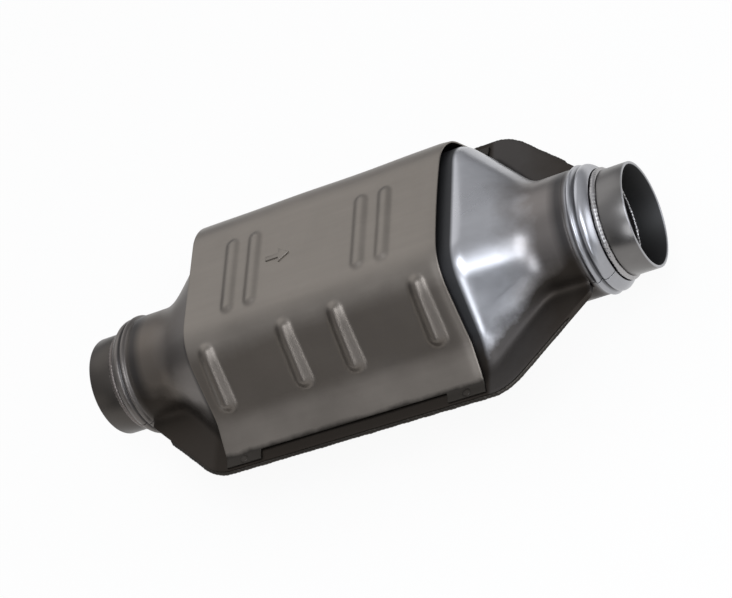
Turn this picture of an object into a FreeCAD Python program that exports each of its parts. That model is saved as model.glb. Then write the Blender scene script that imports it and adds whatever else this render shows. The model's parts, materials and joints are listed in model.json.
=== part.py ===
import FreeCAD, Part
import math
import os
import Sketcher
from FreeCAD import Vector, Placement, Rotation

# Clamshell catalytic converter. X runs along the pipes, Z is up, and the part lies on its
# lower heat shield: the origin is on the ground under the middle of the object.

SIZES = [
    # overall and pipes
    ("half_length", 167.0, "pipe end to the middle"),
    ("pipe_radius", 28.6, "outside radius of both pipe stubs"),
    ("pipe_wall", 1.5, "wall of the pipe stubs"),
    ("pipe_length", 43.0, "length of a pipe stub"),
    ("pipe_reach", 17.5, "how far a stub stands out of the neck"),
    ("neck_fit", 0.3, "clearance of the stub in the neck's mouth"),
    ("seat_step", 0.5, "how much smaller the stub is where it sits in the neck"),
    # stamped half shells
    ("shell_wall", 1.8, "sheet of the half shells"),
    ("body_half", 78.0, "length of the full section, halved"),
    ("collar_length", 30.5, "collar and nose, from the cone to the mouth"),
    ("collar_radius", 33.8, "outside radius of the collar"),
    ("collar_bead", 1.0, "height of the ring on the collar"),
    ("bead_setback", 9.3, "middle of the ring, back from the mouth"),
    ("nose_length", 5.9, "where the collar closes on the pipe"),
    # side flange
    ("flange_half", 84.8, "half width over the flanges"),
    ("flange_taper", 40.0, "length of the flange's taper"),
    ("flange_taper_y", 77.5, "half width where the taper starts"),
    ("flange_setback", 13.5, "end of the flange, back from the mouth"),
    ("flange_end_y", 39.5, "half width at the flange's end"),
    ("flange_corner", 34.0, "corner radius of the flange"),
    ("notch_radius", 2.2, "locating notch in the flange"),
    ("seam_width", 1.2, "how far the seam weld stands out"),
    ("seam_height", 2.4, "height of the seam weld"),
    ("weld_gap", 0.1, "clearance between a weld bead and its plates"),
    # heat shield section, seen along X
    ("shield_wall", 1.0, "sheet of the heat shields"),
    ("shield_gap", 4.2, "air gap between the shield and the shell"),
    ("shield_height", 50.0, "top of the shield over the seam"),
    ("far_lip", 7.8, "far foot of the shield, in from the flange's edge"),
    ("near_lip", 2.3, "near foot of the shield, in from the flange's edge"),
    ("knee_y", 60.0, "knee of the near side"),
    ("knee_z", 13.5, "height of the knee over the seam"),
    ("crease_y", 32.0, "near corner of the top, before rounding"),
    ("shoulder_y", 54.5, "far corner of the top, before rounding"),
    ("knee_bend", 14.0, "bend radius at the knee"),
    ("crease_bend", 30.0, "bend radius at the near corner"),
    ("shoulder_bend", 28.0, "bend radius at the far shoulder"),
    ("foot_gap", 0.4, "gap under the shield's feet between the tabs"),
    # heat shield ends and tabs
    ("front_edge", 72.0, "shield's end towards +X, on top"),
    ("front_sweep", 5.0, "how much further it reaches at the feet"),
    ("rear_edge", 84.5, "shield's end towards -X, on top"),
    ("rear_sweep", 3.5, "how much shorter it is at the near foot"),
    ("tab_length", 22.0, "length of a fixing tab"),
    ("tab_width", 5.6, "how far a fixing tab stands out beyond the shield's side"),
    ("spot_radius", 3.2, "spot weld"),
    ("spot_height", 0.6, "how far a spot weld stands up"),
    # ribs pressed into the upper shield
    ("rib_radius", 5.0, "radius of a cross rib"),
    ("rib_rise", 1.5, "height of a cross rib"),
    ("rib_pitch", 14.6, "distance between the two ribs of a pair"),
    ("rear_pair", -56.2, "first rib of the rear pair"),
    ("front_pair", 25.7, "first rib of the front pair"),
    ("rib_far", 27.0, "far end of the cross ribs"),
    ("rib_near", -14.5, "near end of the cross ribs"),
    ("side_rib_a", -72.0, "side rib"),
    ("side_rib_b", -22.7, "side rib"),
    ("side_rib_c", 9.1, "side rib"),
    ("side_rib_d", 58.2, "side rib"),
    ("side_rib_top", 4.8, "radius at a side rib's upper end"),
    ("side_rib_foot", 5.6, "radius at its lower end"),
    ("side_rib_start", 2.0, "how far it stands out at its upper end"),
    ("side_rib_rise", 3.0, "how far it stands out at its lower end"),
    ("arrow_length", 15.0, "raised flow arrow"),
    ("arrow_width", 9.0, "across the arrow's head"),
    ("arrow_rise", 0.6, "height of the arrow"),
    ("arrow_x", -26.0, "middle of the arrow"),
    ("arrow_y", 9.0, "middle of the arrow"),
    # inside
    ("brick_length", 58.0, "length of a ceramic brick"),
    ("brick_space", 8.0, "gap between the two bricks"),
    ("brick_side", 9.0, "half height of a brick's flat side"),
    ("mat_thickness", 5.0, "support mat"),
    ("seat_gap", 0.3, "clearance between the inner pieces"),
    ("ring_length", 6.0, "length of an end ring"),
    # weld at the neck
    ("bead_width", 3.5, "width of the weld round the pipe"),
    ("bead_rise", 1.4, "height of the weld round the pipe"),
]

# places that follow from the sizes
PLACES = [
    ("pipe_inset", "=half_length - pipe_length", "inner end of a pipe stub"),
    ("mouth", "=half_length - pipe_reach", "mouth of the neck"),
    ("nose_start", "=mouth - nose_length", "where the collar starts to close on the pipe"),
    ("bead_place", "=mouth - bead_setback", "middle of the ring"),
    ("cone_end", "=mouth - collar_length", "where the cone meets the collar"),
    ("flange_end", "=mouth - flange_setback", "end of the flange"),
    ("flange_straight", "=flange_end - flange_taper", "where the flange starts to taper"),
    ("foot_half", "=flange_half - far_lip", "far foot of the shield, from the axis"),
    ("near_foot", "=flange_half - near_lip", "near foot of the shield, from the axis"),
]

doc = FreeCAD.newDocument("catalytic_converter")
sheet = doc.addObject("Spreadsheet::Sheet", "Sizes")
for row, (name, value, note) in enumerate(SIZES + PLACES, start=1):
    sheet.set("A%d" % row, name.replace("_", " "))
    sheet.set("B%d" % row, value if isinstance(value, str) else repr(value))
    sheet.setAlias("B%d" % row, name)
    sheet.set("C%d" % row, note)
doc.recompute()


def val(name):
    return float(getattr(sheet, name))


AXIS_Z = val("shield_height")
nodes = []


def place(obj, label):
    """Lift a piece that is built about the pipe axis to its place over the ground."""
    obj.Label = label
    nodes.append(obj)
    return obj


def feature(label, shape):
    obj = doc.addObject("Part::Feature", label)
    obj.Shape = shape
    obj.Placement = Placement(Vector(0, 0, AXIS_Z), Rotation())
    return place(obj, label)


# ---------------------------------------------------------------- sections across the body

def offset_line(points, d):
    """Move an open polyline to its inner side by d; its ends stay on the seam plane."""
    lines = []
    for (y0, z0), (y1, z1) in zip(points, points[1:]):
        length = math.hypot(y1 - y0, z1 - z0)
        ny, nz = (z1 - z0) / length, -(y1 - y0) / length
        lines.append(((y0 + ny * d, z0 + nz * d), (y1 - y0, z1 - z0)))
    out = [at_height(lines[0], 0.0)]
    for first, second in zip(lines, lines[1:]):
        (ay, az), (by, bz) = first
        (cy, cz), (dy, dz) = second
        k = ((cy - ay) * dz - (cz - az) * dy) / (by * dz - bz * dy)
        out.append((ay + by * k, az + bz * k))
    out.append(at_height(lines[-1], 0.0))
    return out


def at_height(line, z):
    (y0, z0), (dy, dz) = line
    return (y0 + dy * (z - z0) / dz, z)


def rounded(points, radii, closed=False):
    """Turn a polyline with a bend radius at each corner into (start, middle, end) pieces."""
    count = len(points)
    corners = range(count) if closed else range(1, count - 1)
    cut = {}
    for i in corners:
        p, a, b = Vector(*points[i], 0), Vector(*points[i - 1], 0), Vector(*points[(i + 1) % count], 0)
        u, v = (a - p).normalize(), (b - p).normalize()
        half = u.getAngle(v) / 2.0
        reach = radii[i] / math.tan(half)
        bisector = (u + v).normalize()
        middle = p + bisector * (radii[i] / math.sin(half) - radii[i])
        cut[i] = (p + u * reach, middle, p + v * reach)
    pieces = []
    for i in range(count if closed else count - 1):
        j = (i + 1) % count
        start = cut[i][2] if i in cut else Vector(*points[i], 0)
        end = cut[j][0] if j in cut else Vector(*points[j], 0)
        pieces.append((start, (start + end) * 0.5, end))
        if j in cut:
            pieces.append(cut[j])
    return pieces


def edges_at(x, pieces):
    edges = []
    for a, m, b in pieces:
        p, q, r = Vector(x, a.x, a.y), Vector(x, m.x, m.y), Vector(x, b.x, b.y)
        if q.distanceToLine(p, r - p) < 1e-6:
            edges.append(Part.LineSegment(p, r).toShape())
        else:
            edges.append(Part.Arc(p, q, r).toShape())
    return edges


SHIELD = [(-val("near_foot"), 0.0), (-val("knee_y"), val("knee_z")), (-val("crease_y"), val("shield_height")),
          (val("shoulder_y"), val("shield_height")), (val("foot_half"), 0.0)]


def half_section(depth):
    """Half section parallel to the shield's outer face, depth millimetres inside it."""
    bends = [0, val("knee_bend") + depth, val("crease_bend") - depth, val("shoulder_bend") - depth, 0]
    return rounded(offset_line(SHIELD, depth), bends)


def blended(pieces, radius, share):
    """The half section at a point of the cone: share 1 is the body, 0 the round neck."""
    out = []
    for a, m, b in pieces:
        t0, t1 = math.atan2(a.y, a.x), math.atan2(b.y, b.x)
        ring = [Vector(radius * math.cos(t), radius * math.sin(t), 0) for t in (t0, (t0 + t1) / 2, t1)]
        out.append(tuple(c * (1 - share) + p * share for c, p in zip(ring, (a, m, b))))
    return out


def half_wire(x, pieces):
    edges = edges_at(x, pieces)
    edges.append(Part.LineSegment(edges[-1].Vertexes[-1].Point, edges[0].Vertexes[0].Point).toShape())
    return Part.Wire(edges)


def drawn_in(t):
    """Share of the body's section along the cone: rounded into the body and into the collar."""
    bend, sweep = 0.16, 0.3
    slope = 1.0 / (1.0 - bend / 2 - sweep / 2)
    if t < bend:
        return 1.0 - slope * t * t / (2 * bend)
    if t < 1.0 - sweep:
        return 1.0 - slope * (t - bend / 2)
    return slope * (1.0 - t) ** 2 / (2 * sweep)


def shell_form(depth, radius):
    """Solid half form of the shell: full section in the middle, a cone to each round collar."""
    pieces = half_section(depth)
    start, end = val("body_half"), val("cone_end")
    steps = [0.0, 0.08, 0.2, 0.5, 0.75, 0.9, 1.0]
    right = [(start + (end - start) * t, drawn_in(t)) for t in steps]
    stations = [(-x, share) for x, share in reversed(right)] + right
    return Part.makeLoft([half_wire(x, blended(pieces, radius, share)) for x, share in stations], True, True)


def half_turned(points):
    """Half ring about the X axis from (x, radius) points; a third number in a point makes an arc's middle."""
    edges, here, i = [], Vector(points[0][0], points[0][1], 0), 1
    while i < len(points):
        p = points[i]
        if len(p) == 3:
            far = Vector(points[i + 1][0], points[i + 1][1], 0)
            edges.append(Part.Arc(here, Vector(p[0], p[1], 0), far).toShape())
            i += 1
        else:
            far = Vector(p[0], p[1], 0)
            edges.append(Part.LineSegment(here, far).toShape())
        here = far
        i += 1
    edges.append(Part.LineSegment(here, Vector(points[0][0], points[0][1], 0)).toShape())
    return Part.Face(Part.Wire(edges)).revolve(Vector(0, 0, 0), Vector(1, 0, 0), 180)


def flange_outline(extra):
    """Outline of the flange, grown by extra."""
    slope = math.atan2(val("flange_taper_y") - val("flange_end_y"), val("flange_end") - val("flange_straight"))
    half = val("flange_half") + extra
    y_end = val("flange_end_y") + extra / math.cos(slope)
    x_end = val("flange_end")
    x_top = x_end - (half - y_end) / math.tan(slope)
    corners = [(-x_end, -y_end), (-x_top, -half), (x_top, -half), (x_end, -y_end),
               (x_end, y_end), (x_top, half), (-x_top, half), (-x_end, y_end)]
    big, small = val("flange_corner") + extra, 2.0
    radii = [small, big, big, small, small, big, big, small]
    edges = []
    for a, m, b in rounded(corners, radii, closed=True):
        if m.distanceToLine(a, b - a) < 1e-6:
            edges.append(Part.LineSegment(a, b).toShape())
        else:
            edges.append(Part.Arc(a, m, b).toShape())
    return Part.Face(Part.Wire(Part.__sortEdges__(edges)))


# ---------------------------------------------------------------- the two half shells

wall = val("shell_wall")
depth = val("shield_wall") + val("shield_gap")
neck, bead, place_x = val("collar_radius"), val("collar_bead"), val("bead_place")
nose, mouth, cone_end = val("nose_start"), val("mouth"), val("cone_end")
bore = val("pipe_radius") - val("seat_step") + val("neck_fit")

outer_form = shell_form(depth, neck)
inner_form = shell_form(depth + wall, neck - wall)
collar = half_turned([(cone_end, 0), (cone_end, neck), (place_x - 1.9, neck), (place_x - 0.8, neck + bead),
                      (place_x + 0.7, neck + bead), (place_x + 1.6, neck - 0.6), (nose - 0.9, neck - 0.6), (nose, neck),
                      ((nose + mouth) / 2 + 0.55, (neck + bore + wall) / 2 + 0.95, 1), (mouth, bore + wall), (mouth, 0)])
hollow = half_turned([(cone_end, 0), (cone_end, neck - wall), (nose - 0.5, neck - wall), (mouth - 3.2, bore),
                      (mouth, bore), (mouth, 0)])
turn = Rotation(Vector(0, 0, 1), 180)


def both_ends(shape):
    other = shape.copy()
    other.Placement = Placement(Vector(0, 0, 0), turn)
    return [shape, other]


plate = flange_outline(0.0).extrude(Vector(0, 0, wall))
taper = math.atan2(val("flange_taper_y") - val("flange_end_y"), val("flange_end") - val("flange_straight"))
notch_x = val("flange_end") - 8.0
notch_y = val("flange_end_y") + 8.0 * math.tan(taper)
notch = Part.makeCylinder(val("notch_radius"), 4 * wall, Vector(-notch_x, -notch_y, -2 * wall))
upper = outer_form.fuse(both_ends(collar) + [plate]).cut([inner_form] + both_ends(hollow) + [notch])
upper = upper.removeSplitter()
upper_shell = feature("upper_shell", upper.Solids[0])
lower_shell = feature("lower_shell", upper.mirror(Vector(0, 0, 0), Vector(0, 0, 1)).Solids[0])

# ---------------------------------------------------------------- seam welds along the flanges

grown, inner_edge = val("seam_width"), val("weld_gap")
bead_plate = flange_outline(grown).extrude(Vector(0, 0, val("seam_height")))
bead_plate.translate(Vector(0, 0, -val("seam_height") / 2))
core = flange_outline(inner_edge).extrude(Vector(0, 0, 8 * wall))
core.translate(Vector(0, 0, -4 * wall))
long_cut = val("flange_end") - 12.0
keep = Part.makeBox(2 * long_cut, 2 * val("flange_half"), 8 * wall, Vector(-long_cut, 0, -4 * wall))
seam = bead_plate.cut(core).common(keep)
feature("far_seam_weld", seam.Solids[0])
feature("near_seam_weld", seam.mirror(Vector(0, 0, 0), Vector(0, 1, 0)).Solids[0])

# ---------------------------------------------------------------- heat shields

thin = val("shield_wall")
reach = val("rear_edge") + val("front_edge")


def prism(pieces, x0, x1):
    return Part.Face(half_wire(x0, pieces)).extrude(Vector(x1 - x0, 0, 0))


outside = prism(half_section(0.0), -reach, reach)
inside = prism(half_section(thin), -reach, reach)
sheet_form = outside.cut(inside)

front, rear = val("front_edge"), val("rear_edge")
front_foot, rear_foot = front + val("front_sweep"), rear - val("rear_sweep")
side = val("near_foot")
plan = Part.Wire([
    Part.Arc(Vector(front_foot, -side, 0), Vector(front, 0, 0), Vector(front_foot, side, 0)).toShape(),
    Part.LineSegment(Vector(front_foot, side, 0), Vector(front_foot, side + 20, 0)).toShape(),
    Part.LineSegment(Vector(front_foot, side + 20, 0), Vector(-rear, side + 20, 0)).toShape(),
    Part.LineSegment(Vector(-rear, side + 20, 0), Vector(-rear, 0, 0)).toShape(),
    Part.Arc(Vector(-rear, 0, 0), Vector(-rear + (rear - rear_foot) * 0.25, -side / 2, 0),
             Vector(-rear_foot, -side, 0)).toShape(),
    Part.LineSegment(Vector(-rear_foot, -side, 0), Vector(-rear_foot, -side - 20, 0)).toShape(),
    Part.LineSegment(Vector(-rear_foot, -side - 20, 0), Vector(front_foot, -side - 20, 0)).toShape(),
    Part.LineSegment(Vector(front_foot, -side - 20, 0), Vector(front_foot, -side, 0)).toShape()])
trim = Part.Face(plan).extrude(Vector(0, 0, 2 * val("shield_height")))


def capsule(a, b, ra, rb):
    """A tapered bar with round ends."""
    body = Part.makeCone(ra, rb, a.distanceToPoint(b), a, b - a) if abs(ra - rb) > 1e-6 else \
        Part.makeCylinder(ra, a.distanceToPoint(b), a, b - a)
    return body.fuse([Part.makeSphere(ra, a), Part.makeSphere(rb, b)])


def ribs(shrink):
    out = []
    r = val("rib_radius") - shrink
    z = val("shield_height") + val("rib_rise") - val("rib_radius")
    for pair in ("rear_pair", "front_pair"):
        for step in (0, 1):
            x = val(pair) + step * val("rib_pitch")
            out.append(capsule(Vector(x, val("rib_far"), z), Vector(x, val("rib_near"), z), r, r))
    top, foot, start, rise = val("side_rib_top"), val("side_rib_foot"), val("side_rib_start"), val("side_rib_rise")
    slope = math.atan2(val("shield_height") - val("knee_z"), val("knee_y") - val("crease_y"))
    ny, nz = -math.sin(slope), math.cos(slope)
    bend = val("crease_bend")
    mid_y = -val("crease_y") + bend * math.tan(slope / 2)
    mid_z = val("shield_height") - bend
    low = (-val("knee_y") + 5.0, val("knee_z") + 5.0 * math.tan(slope))
    for name in ("side_rib_a", "side_rib_b", "side_rib_c", "side_rib_d"):
        x = val(name)
        tilt = slope * 0.72
        a = Vector(x, mid_y - (bend + start - top) * math.sin(tilt), mid_z + (bend + start - top) * math.cos(tilt))
        b = Vector(x, low[0] + ny * (rise - foot), low[1] + nz * (rise - foot))
        out.append(capsule(a, b, top - shrink, foot - shrink))
    return out


def arrow():
    """A raised flow arrow that points to +X."""
    length, width = val("arrow_length"), val("arrow_width")
    x0, y0 = val("arrow_x") - length / 2, val("arrow_y")
    head, shaft = x0 + length * 0.55, width * 0.16
    pts = [(x0, -shaft), (head, -shaft), (head, -width / 2), (x0 + length, 0), (head, width / 2), (head, shaft),
           (x0, shaft), (x0, -shaft)]
    z = val("shield_height") - thin / 2
    face = Part.Face(Part.makePolygon([Vector(x, y0 + y, z) for x, y in pts]))
    return face.extrude(Vector(0, 0, thin / 2 + val("arrow_rise")))


def tab_span(line):
    """From inside the shield's sheet to the tab's outer edge, both as y."""
    bottom, top = at_height((line[0], (line[1][0] - line[0][0], line[1][1] - line[0][1])), wall + thin), line[1]
    sign = math.copysign(1.0, bottom[0])
    slope = math.hypot(top[0] - line[0][0], top[1] - line[0][1]) / abs(top[1] - line[0][1])
    return bottom[0] - sign * thin * slope * 0.6, bottom[0] + sign * val("tab_width")


tab = val("tab_length")


def tabs():
    """Fixing tabs at the four corners, flat on the shell's flange."""
    boxes = []
    for x0, x1 in ((-rear - 1, -rear_foot + tab), (front_foot - tab, front_foot + 1)):
        for line in (SHIELD[:2], SHIELD[:2:-1]):
            start, out = tab_span(line)
            y = min(start, out)
            boxes.append(Part.makeBox(x1 - x0, abs(out - start), thin, Vector(x0, y, wall)))
    return boxes


floor_cut = Part.makeBox(4 * reach, 4 * side, wall + val("foot_gap"), Vector(-2 * reach, -2 * side, 0))
bare = sheet_form.cut(floor_cut).fuse(tabs()).common(trim)
shell_room = Part.makeBox(4 * reach, 4 * side, 2 * val("shield_height"), Vector(-2 * reach, -2 * side, 0)).cut(inside)
pressed = [outer.cut(hole).common(shell_room) for outer, hole in zip(ribs(0.0), ribs(thin))]
ribbed = bare.cut(ribs(thin)).fuse(pressed + [arrow()]).common(trim).removeSplitter()
feature("upper_heat_shield", ribbed.Solids[0])
plain = bare.removeSplitter().mirror(Vector(0, 0, 0), Vector(0, 0, 1))
feature("lower_heat_shield", plain.Solids[0])


def spots(sign):
    """Spot welds, one on each tab."""
    out = []
    for x in (-rear_foot + tab / 2, front_foot - tab / 2):
        for line in (SHIELD[:2], SHIELD[:2:-1]):
            edge = tab_span(line)[1]
            base = Vector(x, edge - math.copysign(val("tab_width") / 2, edge), sign * (wall + thin))
            out.append(Part.makeCone(val("spot_radius") * 0.8, val("spot_radius") * 0.5, val("spot_height"), base,
                                     Vector(0, 0, sign)))
    return Part.makeCompound(out)


feature("upper_spot_welds", spots(1))
feature("lower_spot_welds", spots(-1))

# ---------------------------------------------------------------- bricks, mats and rings

gap = val("seat_gap")
mat_out = depth + wall + gap
mat_in = mat_out + val("mat_thickness")


def oval(x, d):
    """Closed section round the axis, d millimetres inside the shield's face."""
    pts = offset_line(SHIELD, d)
    side_z = val("brick_side")

    def on(p, q, z):
        return (p[0] + (q[0] - p[0]) * (z - p[1]) / (q[1] - p[1]), z)

    near, far = on(pts[1], pts[2], side_z), on(pts[3], pts[4], side_z)
    top = [near, pts[2], pts[3], far]
    loop = top + [(y, -z) for y, z in reversed(top)]
    r = [10.0, val("crease_bend") - 6.0, val("shoulder_bend") - 6.0, 10.0]
    return Part.Wire(edges_at(x, rounded(loop, r + r[::-1], closed=True)))


def block(x0, length, d):
    return Part.Face(oval(x0, d)).extrude(Vector(length, 0, 0))


long, space, ring = val("brick_length"), val("brick_space"), val("ring_length")
first = space / 2
feature("front_brick", block(first, long, mat_in + gap))
feature("rear_brick", block(-first - long, long, mat_in + gap))
feature("front_mat", block(first, long, mat_out).cut(block(first - 1, long + 2, mat_in)))
feature("rear_mat", block(-first - long, long, mat_out).cut(block(-first - long - 1, long + 2, mat_in)))
feature("spacer_ring", block(-first + gap, space - 2 * gap, mat_out).cut(block(-first, space, mat_out + 2.5)))
ring_x = first + long + gap
feature("front_end_ring", block(ring_x, ring, mat_out).cut(block(ring_x - 1, ring + 2, mat_in + 2.0)))
feature("rear_end_ring", block(-ring_x - ring, ring, mat_out).cut(block(-ring_x - ring - 1, ring + 2, mat_in + 2.0)))

# ---------------------------------------------------------------- pipe stubs and the welds that hold them


def origin_plane(body, role):
    return [f for f in body.Origin.OriginFeatures if f.Role == role][0]


def turned_body(label, points, flip):
    """A body turned about X from a sketch whose corners are (x, radius) expressions."""
    body = doc.addObject("PartDesign::Body", label)
    sketch = body.newObject("Sketcher::SketchObject", label + "_profile")
    sketch.AttachmentSupport = (origin_plane(body, "XZ_Plane"), [""])
    sketch.MapMode = "FlatFace"
    numbers = [tuple(float(doc.getObject("Sizes").evalExpression(e)) for e in p) for p in points]
    count = len(numbers)
    for i in range(count):
        a, b = numbers[i], numbers[(i + 1) % count]
        sketch.addGeometry(Part.LineSegment(Vector(a[0], a[1], 0), Vector(b[0], b[1], 0)), False)
    for i in range(count):
        sketch.addConstraint(Sketcher.Constraint("Coincident", i, 2, (i + 1) % count, 1))
    for i, (ex, er) in enumerate(points):
        for kind, number, text in (("DistanceX", numbers[i][0], ex), ("DistanceY", numbers[i][1], er)):
            index = sketch.addConstraint(Sketcher.Constraint(kind, -1, 1, i, 1, number))
            sketch.setExpression("Constraints[%d]" % index, text)
    turned = body.newObject("PartDesign::Revolution", label + "_turned")
    turned.Profile = sketch
    turned.ReferenceAxis = (sketch, ["H_Axis"])
    turned.Angle = 360
    body.Placement = Placement(Vector(0, 0, AXIS_Z), turn if flip else Rotation())
    body.setExpression("Placement.Base.z", "Sizes.shield_height")
    return place(body, label)


seat, step_x = "Sizes.pipe_radius - Sizes.seat_step", "Sizes.mouth + Sizes.bead_width"
tube = [("Sizes.pipe_inset", "Sizes.pipe_radius - Sizes.pipe_wall"),
        ("Sizes.half_length", "Sizes.pipe_radius - Sizes.pipe_wall"), ("Sizes.half_length", "Sizes.pipe_radius"),
        (step_x, "Sizes.pipe_radius"), (step_x, seat), ("Sizes.pipe_inset", seat)]
base, crown = seat + " + Sizes.weld_gap", "Sizes.pipe_radius + Sizes.bead_rise"
weld = [("Sizes.mouth", base), (step_x, base), (step_x, "Sizes.pipe_radius + Sizes.bead_rise * 0.2"),
        ("Sizes.mouth + Sizes.bead_width * 0.6", "Sizes.pipe_radius + Sizes.bead_rise * 0.8"),
        ("Sizes.mouth + Sizes.bead_width * 0.3", crown), ("Sizes.mouth", crown)]
turned_body("outlet_pipe", tube, False)
turned_body("inlet_pipe", tube, True)
turned_body("outlet_neck_weld", weld, False)
turned_body("inlet_neck_weld", weld, True)

doc.recompute()
for obj in doc.Objects:
    if "Invalid" in obj.State or "Error" in obj.State:
        raise RuntimeError("%s did not recompute: %s" % (obj.Label, obj.State))
for obj in nodes:
    if obj.Shape.isNull() or not obj.Shape.isValid() or not obj.Shape.Solids:
        raise RuntimeError("%s has no valid solid" % obj.Label)

os.makedirs("parts", exist_ok=True)
for obj in nodes:
    obj.Shape.exportStep("parts/%s.step" % obj.Label)
    box = obj.Shape.BoundBox
    print("%-20s %8.1f mm3  solids %d  x %.1f..%.1f y %.1f..%.1f z %.1f..%.1f" % (
        obj.Label, obj.Shape.Volume, len(obj.Shape.Solids), box.XMin, box.XMax, box.YMin, box.YMax, box.ZMin, box.ZMax))
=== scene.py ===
import math

import bmesh
import bpy
import numpy as np
from mathutils import Matrix, Vector
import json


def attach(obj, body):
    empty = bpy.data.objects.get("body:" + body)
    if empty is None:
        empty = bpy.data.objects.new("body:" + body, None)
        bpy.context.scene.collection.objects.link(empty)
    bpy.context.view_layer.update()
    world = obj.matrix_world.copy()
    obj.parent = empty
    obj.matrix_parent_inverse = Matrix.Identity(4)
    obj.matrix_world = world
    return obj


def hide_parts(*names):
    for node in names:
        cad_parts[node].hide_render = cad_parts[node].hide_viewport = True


# A clamshell catalytic converter: two stamped half shells welded along their flanges, a pressed
# heat shield over each half, and a pipe stub in each neck. X runs along the pipes and Z is up.
# Shapes are written in millimetres and measured from the pipe axis; materials read metres.

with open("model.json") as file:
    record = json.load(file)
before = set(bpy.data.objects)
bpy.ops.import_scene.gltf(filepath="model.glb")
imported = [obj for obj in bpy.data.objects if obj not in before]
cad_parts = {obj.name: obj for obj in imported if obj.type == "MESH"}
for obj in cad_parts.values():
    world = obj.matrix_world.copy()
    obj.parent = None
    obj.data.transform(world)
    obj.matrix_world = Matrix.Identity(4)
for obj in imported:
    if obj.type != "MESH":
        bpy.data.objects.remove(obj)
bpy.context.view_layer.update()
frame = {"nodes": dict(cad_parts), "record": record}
scene = bpy.context.scene
scene.view_settings.view_transform = "Standard"

MM = 0.001
AXIS = 50.0                 # height of the pipe axis, which lies in the seam

# pipes and necks
PIPE_OUTSIDE = 28.6
NECK_RADIUS = 33.8
NECK_WELD_X = 151.1         # middle of the weld round the pipe
PIPE_PROFILE = [            # rounded rims; the buried end is turned down where it sits in the neck
    (124.3, 27.1), (166.6, 27.1), (166.85, 27.2), (167.0, 27.45), (167.0, 28.25), (166.85, 28.5),
    (166.6, 28.6), (153.3, 28.6), (153.0, 28.5), (153.0, 28.1), (124.3, 28.1), (124.0, 27.9),
    (124.0, 27.3), (124.3, 27.1)]
COLLAR_PROFILE = [          # a ring, a fold and a second ring that closes on the pipe
    (135.8, 33.8), (136.6, 33.75), (137.4, 33.6), (138.0, 33.55), (138.5, 33.9), (139.1, 34.6),
    (139.8, 34.95), (140.5, 34.9), (141.1, 34.3), (141.6, 33.4), (142.1, 32.9), (142.6, 33.1),
    (143.1, 33.7), (143.8, 34.1), (144.8, 34.15), (146.0, 33.75), (147.2, 32.9), (148.3, 31.8),
    (149.1, 30.9), (149.5, 30.3)]

# heat shields: the corners of their section from the near foot to the far foot, and its bends
SHIELD = [(-82.5, 0.0), (-60.0, 13.5), (-32.0, 50.0), (54.5, 50.0), (77.0, 0.0)]
KNEE_BEND, CREASE_BEND, SHOULDER_BEND = 14.0, 30.0, 28.0
NEAR_FOOT_BEND, FAR_FOOT_BEND = 2.2, 1.6
HALF_SHIELD = 82.5
SHIELD_SHEET = 1.0
FOOT_LEVEL = 2.8            # outer face of the tabs over the seam
TAB_WIDTH, TAB_LENGTH = 5.6, 22.0
SHIELD_LENGTH = 158.0
FRONT_EDGE, FRONT_SWEEP = 72.0, 5.0
REAR_EDGE, REAR_SWEEP = -84.5, 3.5
# ribs: where they are along X, from which Y to which, and radius and rise at start and end
TOP_RIBS, TOP_RIB_ENDS = (-56.2, -41.6, 25.7, 40.3), (27.0, -14.5)
TOP_RIB_SIZE = (5.6, 5.6, 1.8, 1.8)
SIDE_RIBS, SIDE_RIB_ENDS = (-72.0, -22.7, 9.1, 58.2), (-36.0, -54.5)
SIDE_RIB_SIZE = (5.8, 6.6, 2.6, 3.2)
SPOTS_X, SPOTS_Y, SPOT_LEVEL = (-70.0, 66.0), (-80.6, 78.5), 2.78
ARROW_TAIL_X, ARROW_Y = -33.5, 9.0

# half shells
SHELL_SHEET = 1.8
SHELL_DEPTH = 5.2           # the shell's outer face under the shield's
STRAIGHT_HALF, BODY_HALF, CONE_END, NECK_END = 76.0, 78.0, 119.0, 136.0
FLANGE_HALF, TAPER_HALF, FLANGE_END_HALF = 84.8, 77.5, 39.5
TAPER_START, TAPER_LENGTH = 96.0, 40.0
CORNER_REACH = 9.0          # half of the soft corner where the flange starts to taper
FOLD_REACH = 6.0            # half of the soft fold between wall and flange
SEAM_WELD_END = 123.5


# ------------------------------------------------------------------ camera

def add_camera():
    """A long lens from above the near corner, rolled so that the pipes rise to the right."""
    azimuth, height, roll = (math.radians(a) for a in (35.66, 41.74, -43.71))
    away, across, raised = 1.15983, -0.01281, -0.00763
    back = Vector((math.sin(azimuth) * math.cos(height), -math.cos(azimuth) * math.cos(height),
                   math.sin(height)))
    level = Vector((0, 0, 1)).cross(back).normalized()
    tall = back.cross(level)
    right = math.cos(roll) * level + math.sin(roll) * tall
    up = -math.sin(roll) * level + math.cos(roll) * tall
    middle = Vector((-0.01473, 0.0, 0.05))
    data = bpy.data.cameras.new("view")
    data.sensor_width = 36.0
    data.lens = 103.96672
    data.clip_end = 20.0
    camera = bpy.data.objects.new("view", data)
    scene.collection.objects.link(camera)
    turn = Matrix((right, up, back)).transposed().to_4x4()
    place = middle + away * back - across * right - raised * up
    camera.matrix_world = Matrix.Translation(place) @ turn
    scene.camera = camera


# ------------------------------------------------------------------ node helpers
# A value in a tree is passed on as a (node, output) pair.

def new_material(name):
    material = bpy.data.materials.new(name)
    material.use_nodes = True
    tree = material.node_tree
    tree.nodes.clear()
    return material, tree


def node(tree, kind, **values):
    """Adds a node and sets its attributes and, by name, its sockets."""
    made = tree.nodes.new(kind)
    for key, value in values.items():
        if hasattr(made, key):
            setattr(made, key, value)
        else:
            made.inputs[key.replace("_", " ")].default_value = value
    return made


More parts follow.
